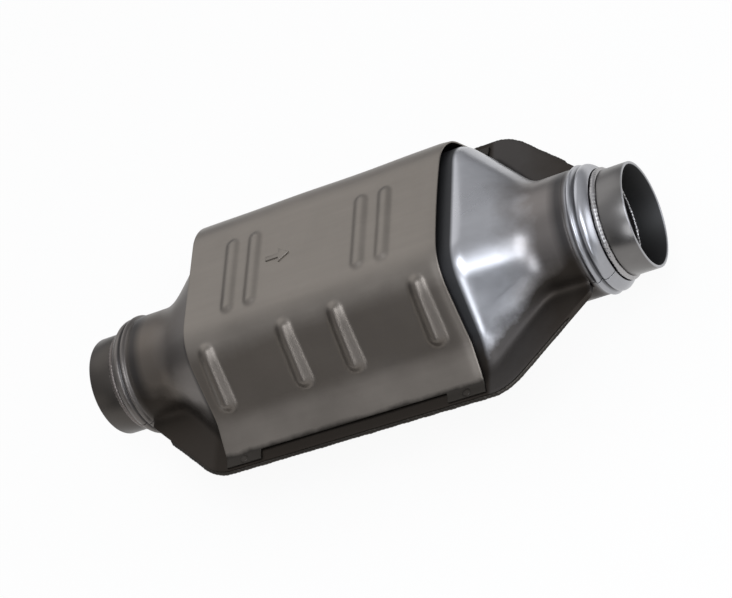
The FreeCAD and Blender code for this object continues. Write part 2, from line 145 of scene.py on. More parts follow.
def link(tree, value, into, socket):
    tree.links.new(value[0].outputs[value[1]], into.inputs[socket])


def maths(tree, kind, *items):
    """One Math node; each item is a number or a (node, output) pair."""
    made = node(tree, "ShaderNodeMath", operation=kind)
    for index, item in enumerate(items):
        if isinstance(item, tuple):
            link(tree, item, made, index)
        else:
            made.inputs[index].default_value = item
    return made, "Value"


def span(tree, value, low, high, to_low=0.0, to_high=1.0):
    """Clamped remap of one value."""
    made = node(tree, "ShaderNodeMapRange", From_Min=low, From_Max=high, To_Min=to_low, To_Max=to_high)
    link(tree, value, made, "Value")
    return made, "Result"


def noise(tree, coords, scale, detail, rough, stretch=(1, 1, 1)):
    mapping = node(tree, "ShaderNodeMapping", Scale=stretch)
    link(tree, (coords, "Object"), mapping, "Vector")
    made = node(tree, "ShaderNodeTexNoise", Scale=scale, Detail=detail, Roughness=rough)
    link(tree, (mapping, "Vector"), made, "Vector")
    return made, "Fac"


def ramp(tree, value, stops):
    made = node(tree, "ShaderNodeValToRGB")
    elements = made.color_ramp.elements
    while len(elements) < len(stops):
        elements.new(0.5)
    for element, (place, colour) in zip(elements, stops):
        element.position = place
        element.color = (*colour, 1.0)
    link(tree, value, made, "Fac")
    return made, "Color"


def coat(tree, amount, under, colour):
    """Lays a flat colour over what a node gives."""
    mix = node(tree, "ShaderNodeMix", data_type="RGBA", blend_type="MIX")
    link(tree, amount, mix, "Factor")
    link(tree, under, mix, 6)
    mix.inputs[7].default_value = (*colour, 1)
    return mix, 2


def bump(tree, height, strength, distance, under=None):
    made = node(tree, "ShaderNodeBump", Strength=strength, Distance=distance)
    link(tree, height, made, "Height")
    if under:
        link(tree, under, made, "Normal")
    return made, "Normal"


# ------------------------------------------------------------------ where the stains and painted shade lie
# Each takes the tree and its coordinates and gives a mask from 0 to 1.

def places(tree, coords):
    """X, Y and Z of a point, in metres."""
    split = node(tree, "ShaderNodeSeparateXYZ")
    link(tree, (coords, "Object"), split, "Vector")
    return (split, "X"), (split, "Y"), (split, "Z")


def from_seam(tree, z):
    return maths(tree, "ABSOLUTE", maths(tree, "SUBTRACT", z, AXIS * MM), 0.0)


def flange_and_fold_shade(tree, coords):
    """Painted shade on the flanges and in the fold above them, thin on the necks."""
    x, _, z = places(tree, coords)
    away = maths(tree, "ABSOLUTE", x, 0.0)
    widening = span(tree, away, 0.100, 0.140, 0.0, 0.012)
    cloud = noise(tree, coords, 60.0, 4.0, 0.6)
    ragged = maths(tree, "MULTIPLY_ADD", cloud, -0.012, from_seam(tree, z))
    shade_share = span(tree, maths(tree, "SUBTRACT", ragged, widening), -0.001, 0.0085, 1.0, 0.0)
    return maths(tree, "MULTIPLY", shade_share, span(tree, away, 0.134, 0.138, 1.0, 0.25))


def shield_shadow_and_soot(tree, coords):
    """Painted shadow of the shield's rims on the shell beside and under them, with some soot."""
    x, _, _ = places(tree, coords)
    front = span(tree, x, 0.0778, 0.0798, 1.0, 0.0)
    return maths(tree, "MULTIPLY", front, span(tree, x, -0.092, -0.088, 0.0, 1.0))


def neck_heat(tree, coords):
    """Brown heat film that thickens towards the necks."""
    away = maths(tree, "ABSOLUTE", places(tree, coords)[0], 0.0)
    ragged = maths(tree, "MULTIPLY_ADD", noise(tree, coords, 35.0, 4.0, 0.6), 0.03, away)
    rise = span(tree, ragged, 0.112, 0.134)
    return maths(tree, "MULTIPLY", rise, span(tree, away, 0.1365, 0.1385, 1.0, 0.0))


def collar_fold_shade(tree, coords):
    """Painted shade in the folds in front of the collar's first ring and behind it."""
    away = maths(tree, "ABSOLUTE", places(tree, coords)[0], 0.0)

    def fold(middle, core, reach):
        off = maths(tree, "ABSOLUTE", maths(tree, "SUBTRACT", away, middle), 0.0)
        return span(tree, off, core, reach, 1.0, 0.0)

    return maths(tree, "MAXIMUM", fold(0.1335, 0.001, 0.0065), fold(0.1424, 0.0004, 0.0012))


def shield_foot_shade(tree, coords):
    """Painted shade on the tabs and along the shield's feet."""
    cloud = noise(tree, coords, 90.0, 4.0, 0.6)
    ragged = maths(tree, "MULTIPLY_ADD", cloud, -0.002, from_seam(tree, places(tree, coords)[2]))
    return span(tree, ragged, 0.0021, 0.0034, 1.0, 0.0)


def rear_shade(tree, coords):
    """Painted shade: the rear end is darker all over, and dull."""
    return span(tree, places(tree, coords)[0], -0.06, 0.0, 1.0, 0.0)


def near_wall_shade(tree, coords):
    """Painted shade on the shield's steep near wall."""
    y = places(tree, coords)[1]
    ragged = maths(tree, "MULTIPLY_ADD", noise(tree, coords, 30.0, 4.0, 0.6), 0.012, y)
    wall = span(tree, ragged, -0.034, -0.026, 1.0, 0.0)
    return maths(tree, "MULTIPLY", wall, span(tree, ragged, -0.060, -0.050, 0.25, 1.0))


def pipe_soot_and_shade(tree, coords):
    """Soot and painted shade on the inside of the pipes and on their buried ends."""
    x, y, z = places(tree, coords)
    rise = maths(tree, "SUBTRACT", z, AXIS * MM)
    squares = maths(tree, "MULTIPLY_ADD", y, y, maths(tree, "MULTIPLY", rise, rise))
    inside = span(tree, maths(tree, "SQRT", squares, 0.0), 0.0273, 0.0277, 1.0, 0.0)
    buried = span(tree, maths(tree, "ABSOLUTE", x, 0.0), 0.140, 0.150, 1.0, 0.0)
    return maths(tree, "MAXIMUM", inside, buried)


def cut_rim(tree, coords):
    """Bare metal on the pipes' cut ends."""
    return span(tree, maths(tree, "ABSOLUTE", places(tree, coords)[0], 0.0), 0.1664, 0.1668)


def open_cells(tree, coords):
    """Square gas channels in a brick's face."""
    cell_pitch, cell_wall = 0.00127, 0.2
    _, y, z = places(tree, coords)
    across, up = (maths(tree, "GREATER_THAN", maths(
        tree, "FRACT", maths(tree, "DIVIDE", way, cell_pitch), 0.0), cell_wall) for way in (y, z))
    return maths(tree, "MULTIPLY", across, up)


# ------------------------------------------------------------------ finishes

def finish(name, base, rough, smudge, relief=0.05, waves=0.25, stains_and_shade=(), metallic=1.0):
    """Rolled sheet: cloudy film, fine rolling grain along X, an uneven sheen and slow waves.

    smudge is how far the film's clouds lighten and darken the base colour.
    stains_and_shade are (mask, colour, share, roughness), each laid over the ones before it; some are
    real stains and some are painted shade."""
    material, tree = new_material(name)
    coords = node(tree, "ShaderNodeTexCoord")
    shader = node(tree, "ShaderNodeBsdfPrincipled", Metallic=metallic)
    clouds = noise(tree, coords, 22.0, 5.0, 0.6)
    grain = noise(tree, coords, 260.0, 4.0, 0.6, (0.06, 1, 1))
    specks = noise(tree, coords, 900.0, 2.0, 0.5)
    dents = noise(tree, coords, 26.0, 1.0, 0.4)
    dark = tuple(c * (1 - smudge) for c in base)
    light = tuple(min(1.0, c * (1 + smudge)) for c in base)
    grained = node(tree, "ShaderNodeMix", data_type="RGBA", blend_type="MULTIPLY", Factor=0.12)
    link(tree, ramp(tree, clouds, [(0.3, dark), (0.7, light)]), grained, 6)
    link(tree, grain, grained, 7)
    colour = (grained, 2)
    sheen = span(tree, clouds, 0.3, 0.7, rough - 0.06, rough + 0.08)
    for mask, tone, share, dull in stains_and_shade:
        amount = maths(tree, "MULTIPLY", mask(tree, coords), share)
        colour = coat(tree, amount, colour, tone)
        sheen = maths(tree, "MULTIPLY_ADD", amount, maths(tree, "SUBTRACT", dull, sheen), sheen)
    link(tree, colour, shader, "Base Color")
    link(tree, sheen, shader, "Roughness")
    swell = bump(tree, dents, waves, 0.002)
    fine = maths(tree, "MULTIPLY_ADD", specks, 0.12, grain)
    link(tree, bump(tree, fine, relief, 0.0004, swell), shader, "Normal")
    link(tree, (shader, "BSDF"), node(tree, "ShaderNodeOutputMaterial"), "Surface")
    return material


FINISH = {
    "shield_steel": finish("shield_steel_film", (0.235, 0.213, 0.19), 0.42, 0.12, stains_and_shade=(
        # painted shade on the shield's steep near wall
        (near_wall_shade, (0.13, 0.114, 0.10), 0.75, 0.44),
        # painted shade on the tabs and along the shield's feet
        (shield_foot_shade, (0.03, 0.027, 0.024), 0.9, 0.55))),
    "shell_steel": finish("shell_steel_bright", (0.47, 0.475, 0.50), 0.28, 0.06, 0.02, 0.3, stains_and_shade=(
        (neck_heat, (0.12, 0.10, 0.085), 0.8, 0.38),
        # painted shade on the rear end
        (rear_shade, (0.13, 0.112, 0.096), 0.85, 0.42),
        # painted shade in the folds beside the collar's first ring
        (collar_fold_shade, (0.03, 0.03, 0.032), 0.75, 0.4),
        # painted shadow of the shield's rims on the shell, with some soot
        (shield_shadow_and_soot, (0.02, 0.02, 0.02), 0.9, 0.6),
        # painted shade on the flanges and in the fold above them
        (flange_and_fold_shade, (0.034, 0.028, 0.023), 0.92, 0.55))),
    "pipe_steel": finish("pipe_steel_satin", (0.19, 0.183, 0.178), 0.32, 0.12, stains_and_shade=(
        # painted shade on the rear end
        (rear_shade, (0.065, 0.057, 0.05), 0.85, 0.42),
        # soot and painted shade inside the pipes and on their buried ends
        (pipe_soot_and_shade, (0.05, 0.05, 0.051), 0.9, 0.6),
        (cut_rim, (0.42, 0.42, 0.44), 0.8, 0.3))),
    "weld_metal": finish("weld_metal_grey", (0.05, 0.045, 0.04), 0.42, 0.2),
    # the neck weld's light base colour is a painted highlight that continues the collar ring's
    # highlight
    "neck_weld": finish("neck_weld_painted_highlight", (0.40, 0.39, 0.39), 0.3, 0.15, stains_and_shade=(
        # painted shade on the rear end
        (rear_shade, (0.12, 0.10, 0.09), 0.85, 0.42),)),
    "ceramic": finish("ceramic_wash", (0.35, 0.28, 0.20), 0.9, 0.1, metallic=0.0, stains_and_shade=(
        (open_cells, (0.015, 0.012, 0.01), 0.95, 0.95),)),
    "mat_fibre": finish("mat_fibre_white", (0.6, 0.58, 0.5), 0.95, 0.1, metallic=0.0),
    "ring_steel": finish("ring_steel_plain", (0.3, 0.3, 0.3), 0.4, 0.1),
}


def finish_cad_nodes():
    """Every CAD node gets its slot's finish; the bricks, mats and rings stay as they are."""
    slots = {row["node"]: row["material_slot"] for row in frame["record"]["subparts"]}
    for name, piece in frame["nodes"].items():
        for slot in piece.material_slots:
            slot.material = FINISH[slots[name]]


# ------------------------------------------------------------------ room

def pale_floor():
    """Seen, mirrored or looked through it is nearly white, with the object's shadow; it lights
    the object as a plain pale table does."""
    material, tree = new_material("pale_floor")
    shadowed = node(tree, "ShaderNodeBsdfDiffuse", Color=(0.86, 0.86, 0.86, 1))
    table = node(tree, "ShaderNodeBsdfDiffuse", Color=(0.75, 0.74, 0.73, 1))
    glow = node(tree, "ShaderNodeEmission", Color=(1, 1, 1, 1), Strength=1.0)
    pale = node(tree, "ShaderNodeMixShader", Fac=0.93)
    link(tree, (shadowed, "BSDF"), pale, 1)
    link(tree, (glow, "Emission"), pale, 2)
    path = node(tree, "ShaderNodeLightPath")
    mirrored = maths(tree, "MAXIMUM", (path, "Is Glossy Ray"), (path, "Is Transmission Ray"))
    mix = node(tree, "ShaderNodeMixShader")
    link(tree, maths(tree, "MAXIMUM", (path, "Is Camera Ray"), mirrored), mix, "Fac")
    link(tree, (table, "BSDF"), mix, 1)
    link(tree, (pale, "Shader"), mix, 2)
    link(tree, (mix, "Shader"), node(tree, "ShaderNodeOutputMaterial"), "Surface")
    return material


def add_sky():
    """Dim at the horizon and pale overhead, a little paler on the far side."""
    world = bpy.data.worlds.new("studio")
    scene.world = world
    world.use_nodes = True
    tree = world.node_tree
    tree.nodes.clear()
    sky = node(tree, "ShaderNodeBackground", Strength=1.0)
    coords = node(tree, "ShaderNodeTexCoord")
    split = node(tree, "ShaderNodeSeparateXYZ")
    link(tree, (coords, "Generated"), split, "Vector")
    lean = maths(tree, "MULTIPLY_ADD", (split, "Y"), 0.35, (split, "Z"))
    lean = maths(tree, "MULTIPLY_ADD", (split, "X"), -0.1, lean)
    tone = ramp(tree, lean, [(0.0, (0.05, 0.05, 0.052)), (0.25, (0.12, 0.12, 0.125)),
                             (0.6, (0.50, 0.505, 0.52)), (0.85, (0.60, 0.605, 0.62))])
    link(tree, tone, sky, "Color")
    link(tree, (sky, "Background"), node(tree, "ShaderNodeOutputWorld"), "Surface")


def add_lamp(name, place, aim, size, power, colour=(1, 1, 1)):
    data = bpy.data.lights.new(name, "AREA")
    data.shape = "RECTANGLE"
    data.size, data.size_y = size
    data.energy = power
    data.color = colour
    lamp = bpy.data.objects.new(name, data)
    scene.collection.objects.link(lamp)
    lamp.location = place
    lamp.rotation_euler = (Vector(aim) - Vector(place)).to_track_quat("-Z", "Y").to_euler()


def add_room():
    reach = 4.0
    mesh = bpy.data.meshes.new("floor")
    mesh.from_pydata([(-reach, -reach, 0), (reach, -reach, 0), (reach, reach, 0), (-reach, reach, 0)],
                     [], [(0, 1, 2, 3)])
    floor = bpy.data.objects.new("floor", mesh)
    scene.collection.objects.link(floor)
    mesh.materials.append(pale_floor())
    add_sky()
    cool, warm = (0.92, 0.95, 1.0), (1.0, 0.98, 0.95)
    add_lamp("key", (-0.62, 0.86, 1.05), (0, 0, 0.05), (1.5, 1.3), 3.4)
    add_lamp("front", (0.56, -0.60, 1.17), (0.08, 0, 0.05), (0.56, 0.95), 8.8, (0.9, 0.94, 1.0))
    add_lamp("front_low", (0.20, -1.22, 0.70), (0.06, 0, 0.05), (0.30, 0.6), 2.9, cool)
    add_lamp("low", (0.90, -1.05, 0.20), (0.1, 0, 0.05), (0.8, 0.4), 1.0, cool)
    add_lamp("right", (1.35, -0.15, 0.42), (0.12, 0, 0.05), (0.8, 0.6), 4.2, cool)
    add_lamp("fill", (-1.3, -1.0, 0.55), (-0.05, 0, 0.05), (1.0, 0.6), 1.4, warm)


# ------------------------------------------------------------------ sections

def inside_of(points, depth):
    """The same corners for a section that lies deeper, with its feet still on the seam."""
    lines = []
    for (y0, z0), (y1, z1) in zip(points, points[1:]):
        length = math.hypot(y1 - y0, z1 - z0)
        start = (y0 + (z1 - z0) / length * depth, z0 - (y1 - y0) / length * depth)
        lines.append((start, (y1 - y0, z1 - z0)))

    def on_seam(line):
        (y0, z0), (dy, dz) = line
        return (y0 - dy * z0 / dz, 0.0)

    corners = [on_seam(lines[0])]
    for ((ay, az), (by, bz)), ((cy, cz), (dy, dz)) in zip(lines, lines[1:]):
        k = ((cy - ay) * dz - (cz - az) * dy) / (by * dz - bz * dy)
        corners.append((ay + by * k, az + bz * k))
    return corners + [on_seam(lines[-1])]


def bent(points, radii, steps=24):
    """Points along a line of corners, each rounded to its radius; the two ends have none."""
    out = [np.array(points[0])]
    for before, here, after, radius in zip(points, points[1:], points[2:], radii):
        corner, a, b = np.array(here), np.array(before), np.array(after)
        u = (a - corner) / np.linalg.norm(a - corner)
        v = (b - corner) / np.linalg.norm(b - corner)
        half = math.acos(float(np.clip(u @ v, -1, 1))) / 2
        middle = corner + (u + v) / np.linalg.norm(u + v) * radius / math.sin(half)
        start, end = corner + u * radius / math.tan(half), corner + v * radius / math.tan(half)
        sweep = math.pi - 2 * half
        for k in range(steps + 1):
            t = k / steps
            w0 = math.sin((1 - t) * sweep) / math.sin(sweep)
            w1 = math.sin(t * sweep) / math.sin(sweep)
            out.append(middle + (start - middle) * w0 + (end - middle) * w1)
    out.append(np.array(points[-1]))
    return np.array(out)


def run_of(points):
    """Length along a line at each of its points."""
    return np.concatenate([[0.0], np.cumsum(np.linalg.norm(np.diff(points, axis=0), axis=1))])


def stepped(marks, counts):
    """Even steps from mark to mark; each run leaves its end to the next."""
    runs = [np.linspace(a, b, n, endpoint=False) for a, b, n in zip(marks, marks[1:-1], counts)]
    return np.concatenate(runs + [np.linspace(marks[-2], marks[-1], counts[-1])])


def resample(points, stops):
    run = run_of(points)
    return np.stack([np.interp(stops, run, points[:, k]) for k in range(points.shape[1])], axis=1)


BODY = bent(inside_of(SHIELD, SHELL_DEPTH),
            (KNEE_BEND + SHELL_DEPTH, CREASE_BEND - SHELL_DEPTH, SHOULDER_BEND - SHELL_DEPTH))
BODY = resample(BODY, np.linspace(0, run_of(BODY)[-1], 400))
BODY_TURN = np.arctan2(BODY[:, 1], BODY[:, 0])
NECK_RING = np.stack([NECK_RADIUS * np.cos(BODY_TURN), NECK_RADIUS * np.sin(BODY_TURN)], axis=1)


# ------------------------------------------------------------------ making pieces

def bake_modifiers(piece, name):
    """Keeps what the modifiers give as the piece's own plain mesh."""
    rough = piece.data
    baked = bpy.data.meshes.new_from_object(
        piece.evaluated_get(bpy.context.evaluated_depsgraph_get()))
    piece.modifiers.clear()
    piece.data = baked
    baked.name = name
    bpy.data.meshes.remove(rough)
    return baked


def place_piece(piece, nodes):
    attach(piece, "root")
    if nodes:
        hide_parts(*nodes)


def make_piece(name, verts, faces, metal, nodes=(), sheet=0.0, bevel=0.0):
    """A smooth piece from millimetres; sheet is its wall inwards, bevel rounds its rims."""
    mesh = bpy.data.meshes.new(name)
    mesh.from_pydata([tuple(map(float, v)) for v in np.asarray(verts) * MM], [],
                     [tuple(map(int, f)) for f in faces])
    joined = bmesh.new()
    joined.from_mesh(mesh)
    bmesh.ops.remove_doubles(joined, verts=joined.verts, dist=2e-6)
    loose = [v for v in joined.verts if not v.link_faces]
    bmesh.ops.delete(joined, geom=loose, context="VERTS")
    joined.to_mesh(mesh)
    joined.free()
    mesh.polygons.foreach_set("use_smooth", [True] * len(mesh.polygons))
    mesh.materials.append(metal)
    piece = bpy.data.objects.new(name, mesh)
    scene.collection.objects.link(piece)
    if sheet:
        wall = piece.modifiers.new("sheet", "SOLIDIFY")
        wall.thickness, wall.offset = sheet * MM, -1.0
        wall.use_even_offset = True
    if bevel:
        edge = piece.modifiers.new("edge", "BEVEL")
        edge.width, edge.segments, edge.limit_method = bevel * MM, 2, "ANGLE"
        edge.angle_limit = math.radians(50)
        edge.harden_normals = False
    if piece.modifiers:
        bake_modifiers(piece, name)
    place_piece(piece, nodes)


def outward(verts, faces):
    """Turns the faces so that they look away from the middle of the piece."""
    v = np.asarray(verts, dtype=float)
    v = v - v.mean(axis=0)
    f = np.asarray(faces)
    normal = np.cross(v[f[:, 2]] - v[f[:, 0]], v[f[:, 3]] - v[f[:, 1]])
    facing = (normal * v[f].mean(axis=1)).sum()
    return f if facing > 0 else f[:, ::-1]


def grid_faces(rows, columns, keep=None):
    index = np.arange(rows * columns).reshape(rows, columns)
    quads = np.stack([index[:-1, :-1], index[1:, :-1], index[1:, 1:], index[:-1, 1:]], axis=-1)
    return quads.reshape(-1, 4) if keep is None else quads[keep]


def turned(profile, count, first=0.0, last=360.0):
    """Turns (x, radius) points about the pipe axis; the metal is on the profile's left."""
    full = abs(last - first - 360.0) < 1e-6
    angles = np.radians(np.linspace(first, last, count, endpoint=not full))
    p = np.array(profile, dtype=float)
    x, r = (np.broadcast_to(p[:, k], (len(angles), len(p))) for k in (0, 1))
    verts = np.stack([x, r * np.cos(angles)[:, None], AXIS + r * np.sin(angles)[:, None]], axis=-1)
    index = np.arange(len(angles) * len(p)).reshape(len(angles), len(p))
    if full:
        index = np.vstack([index, index[:1]])
    quads = np.stack([index[:-1, :-1], index[:-1, 1:], index[1:, 1:], index[1:, :-1]], axis=-1)
    return verts.reshape(-1, 3), quads.reshape(-1, 4)


def other_end(verts, faces):
    """Turns a mesh by half a turn about Z, to the other end."""
    return np.array(verts, dtype=float) * (-1, -1, 1), np.asarray(faces)


def other_half(verts, faces):
    """Mirrors a mesh through the seam."""
    out = np.array(verts, dtype=float)
    out[:, 2] = 2 * AXIS - out[:, 2]
    return out, np.asarray(faces)[:, ::-1]


def joined_up(*meshes):
    verts, faces, count = [], [], 0
    for v, f in meshes:
        verts.append(np.asarray(v))
        faces.append(np.asarray(f) + count)
        count += len(v)
    return np.vstack(verts), np.vstack(faces)


# ------------------------------------------------------------------ heat shields

def rib(x, run, start, end, start_radius, end_radius, start_rise, end_rise):
    """Height of a pressed rib with soft flanks, from start to end on the sheet."""
    a, b = np.array(start), np.array(end)
    d = b - a
    t = np.clip(((x - a[0]) * d[0] + (run - a[1]) * d[1]) / (d @ d), 0, 1)
    off = np.hypot(x - a[0] - t * d[0], run - a[1] - t * d[1])
    flank = np.clip(off / (start_radius + (end_radius - start_radius) * t), 0, 1)
    rise = start_rise + (end_rise - start_rise) * t
    return rise * (0.5 + 0.5 * np.cos(math.pi * flank ** 1.15))


def shield_mesh(ribbed):
    """The sheet's outer face with its four tabs, over the seam."""
    near_slope = (SHIELD[1][0] - SHIELD[0][0]) / SHIELD[1][1]
    far_slope = (SHIELD[4][0] - SHIELD[3][0]) / SHIELD[3][1]
    near = SHIELD[0][0] + FOOT_LEVEL * near_slope
    far = SHIELD[4][0] - FOOT_LEVEL * far_slope
    corners = [(near - TAB_WIDTH, FOOT_LEVEL), (near, FOOT_LEVEL)] + SHIELD[1:4]
    corners += [(far, FOOT_LEVEL), (far + TAB_WIDTH, FOOT_LEVEL)]
    section = bent(corners, (NEAR_FOOT_BEND, KNEE_BEND, CREASE_BEND, SHOULDER_BEND, FAR_FOOT_BEND))
    length = run_of(section)[-1]
    step = 1.15 if ribbed else 2.4
    stops = np.linspace(0, length, int(length / step))
    points = resample(section, stops)
    tangent = np.gradient(points, axis=0)
    tangent /= np.linalg.norm(tangent, axis=1)[:, None]
    normal = np.stack([-tangent[:, 1], tangent[:, 0]], axis=1)
    y = points[:, 0]
    bow = (y / HALF_SHIELD) ** 2
    front = FRONT_EDGE + FRONT_SWEEP * bow
    rear = np.where(y > 0, REAR_EDGE, REAR_EDGE + REAR_SWEEP * bow)
    columns = int(SHIELD_LENGTH / step)
    x = rear[:, None] + (front - rear)[:, None] * np.linspace(0, 1, columns)[None, :]
    run = np.broadcast_to(stops[:, None], x.shape)
    height = np.zeros_like(x)
    if ribbed:
        roof = (y > near) & (y < far)

        def stop_at(wanted):
            return float(np.interp(wanted, y[roof], stops[roof]))

        for row, (start, end), size in ((TOP_RIBS, TOP_RIB_ENDS, TOP_RIB_SIZE),
                                        (SIDE_RIBS, SIDE_RIB_ENDS, SIDE_RIB_SIZE)):
            for at in row:
                pressed = rib(x, run, (at, stop_at(start)), (at, stop_at(end)), *size)
                height = np.maximum(height, pressed)
        # slow waves that the press leaves in the sheet
        height += 0.22 * np.sin(x / 27.0 + 0.7) * np.sin(run / 31.0)
        height += 0.12 * np.sin(x / 11.0 + run / 17.0)
    # the front rim is drawn in a little, but not on the tabs
    height -= 0.5 * np.exp(-((x - front[:, None]) / 3.0) ** 2) * (np.abs(y)[:, None] < 74)
    verts = np.stack([x, y[:, None] + normal[:, :1] * height,
                      AXIS + points[:, 1:2] + normal[:, 1:2] * height], axis=-1)
    row_y = (y[:-1] + y[1:]) / 2
    on_foot = (row_y < near + 0.2) | (row_y > far - 0.2)
    middle_x = (x[:-1, :-1] + x[1:, 1:]) / 2
    on_tab = (middle_x < rear[:-1, None] + TAB_LENGTH) | (middle_x > front[:-1, None] - TAB_LENGTH)
    faces = grid_faces(len(stops), columns, (~on_foot[:, None]) | on_tab)
    return verts.reshape(-1, 3), faces


def arrow_mesh():
    """A raised flow arrow that points to the outlet."""
    shaft, head, length, reach = 1.44, 4.5, 15.0, 8.25
    outline = [(0, -shaft), (reach, -shaft), (reach, -head), (length, 0), (reach, head),
               (reach, shaft), (0, shaft)]
    verts = [(ARROW_TAIL_X + x, ARROW_Y + y, 2 * AXIS + z) for z in (-0.3, 0.6) for x, y in outline]
    n = len(outline)
    walls = [(i, (i + 1) % n, n + (i + 1) % n, n + i) for i in range(n)]
    return verts, walls + [tuple(range(n, 2 * n)), tuple(reversed(range(n)))]


# ------------------------------------------------------------------ half shells

def flange_edge(x):
    """Half width of the flange at x: straight, then tapering from a soft corner."""
    x = np.abs(x)
    slope = (TAPER_HALF - FLANGE_END_HALF) / TAPER_LENGTH
    corner = TAPER_START - (FLANGE_HALF - TAPER_HALF) / slope
    line = np.where(x < corner, FLANGE_HALF, FLANGE_HALF - (x - corner) * slope)
    u = np.clip((x - corner) / CORNER_REACH, -1, 1)
    soft = FLANGE_HALF - slope * CORNER_REACH * (u + 1) ** 2 / 4
    return np.where(np.abs(x - corner) < CORNER_REACH, soft, line)


def drawn_in(t):
    """Share of the body's section left at t along a cone: a soft start, a straight, a long sweep."""
    bend, sweep = 0.16, 0.3
    slope = 1.0 / (1.0 - bend / 2 - sweep / 2)
    if t < bend:
        return 1.0 - slope * t * t / (2 * bend)
    if t < 1.0 - sweep:
        return 1.0 - slope * (t - bend / 2)
    return slope * (1.0 - t) ** 2 / (2 * sweep)


def shell_section(x):
    """One section with its flanges, near side first, always with the same number of points."""
    t = (abs(x) - BODY_HALF) / (CONE_END - BODY_HALF)
    share = 1.0 if t <= 0 else (0.0 if t >= 1 else drawn_in(t))
    wall = NECK_RING * (1 - share) + BODY * share
    edge = float(flange_edge(x))
    above = wall[:, 1] > SHELL_SHEET
    first, last = int(np.argmax(above)), len(wall) - 1 - int(np.argmax(above[::-1]))
    near_y, far_y = wall[first, 0], wall[last, 0]
    line = np.vstack([[(-edge, SHELL_SHEET), (near_y, SHELL_SHEET)], wall[first:last + 1],
                      [(far_y, SHELL_SHEET), (edge, SHELL_SHEET)]])
    total = run_of(line)[-1]
    near_fold, far_width = edge + near_y, edge - far_y
    far_fold = total - far_width
    near_reach, far_reach = min(FOLD_REACH, near_fold * 0.7), min(FOLD_REACH, far_width * 0.7)
    stops = stepped((0, near_fold - near_reach, near_fold + FOLD_REACH, far_fold - FOLD_REACH,
                     far_fold + far_reach, total), (6, 12, 112, 12, 6))
    out = resample(line, stops)
    blend_reach, blend_fade = 6.5, 3.0
    for fold, reach in ((near_fold, near_reach), (far_fold, far_reach)):
        # the fold is softened by a weighted mean along the sheet
        sigma = min(2.4, reach / 2.2)
        close = np.abs(stops - fold) < blend_reach
        offsets = np.linspace(-2.5, 2.5, 21) * sigma
        weight = np.exp(-0.5 * (offsets / sigma) ** 2)
        weight /= weight.sum()
        soft = sum(w * resample(line, np.clip(stops[close] + o, 0, total))
                   for w, o in zip(weight, offsets))
        fade = np.clip((blend_reach - np.abs(stops[close] - fold)) / blend_fade, 0, 1)[:, None]
        out[close] = out[close] * (1 - fade) + soft * fade
    return out


def shell_mesh():
    """The upper half shell's outer face: body, cones and flanges, and a collar at each end."""
    stations = stepped((-NECK_END, -CONE_END, -STRAIGHT_HALF, STRAIGHT_HALF, CONE_END, NECK_END),
                       (14, 44, 26, 44, 15))
    rows = []
    for x in stations:
        part = shell_section(x)
        wave = 0.12 * math.sin(x / 9.0) * (part[:, 1] > 20)
        rows.append(np.stack([np.full(len(part), x), part[:, 0], AXIS + part[:, 1] + wave], axis=1))
    body = np.array(rows)
    body_faces = grid_faces(*body.shape[:2])
    collar = turned(COLLAR_PROFILE, 97, 0.4, 179.6)
    meshes = (body.reshape(-1, 3), body_faces), collar, other_end(*collar)
    return joined_up(*((verts, outward(verts, faces)) for verts, faces in meshes))


# ------------------------------------------------------------------ rules for welds and spots

def rule_tree(name, inputs):
    """An empty geometry tree with named inputs, and its first and last node."""
    tree = bpy.data.node_groups.new(name, "GeometryNodeTree")
    tree.interface.new_socket("Path", in_out="INPUT", socket_type="NodeSocketGeometry")
    for label, kind, value in inputs:
        socket = tree.interface.new_socket(label, in_out="INPUT", socket_type="NodeSocket" + kind)
        if value is not None:
            socket.default_value = value
    tree.interface.new_socket("Metal laid", in_out="OUTPUT", socket_type="NodeSocketGeometry")
    return tree, node(tree, "NodeGroupInput"), node(tree, "NodeGroupOutput")


def end_rule(tree, start, end, last):
    """Every rule ends as plain, smooth metal."""
    smooth = node(tree, "GeometryNodeSetShadeSmooth")
    real = node(tree, "GeometryNodeRealizeInstances")
    metal = node(tree, "GeometryNodeSetMaterial")
    link(tree, last, real, "Geometry")
    link(tree, (real, "Geometry"), smooth, "Geometry")
    link(tree, (smooth, "Geometry"), metal, "Geometry")
    link(tree, (start, "Metal"), metal, "Material")
    link(tree, (metal, "Geometry"), end, 0)


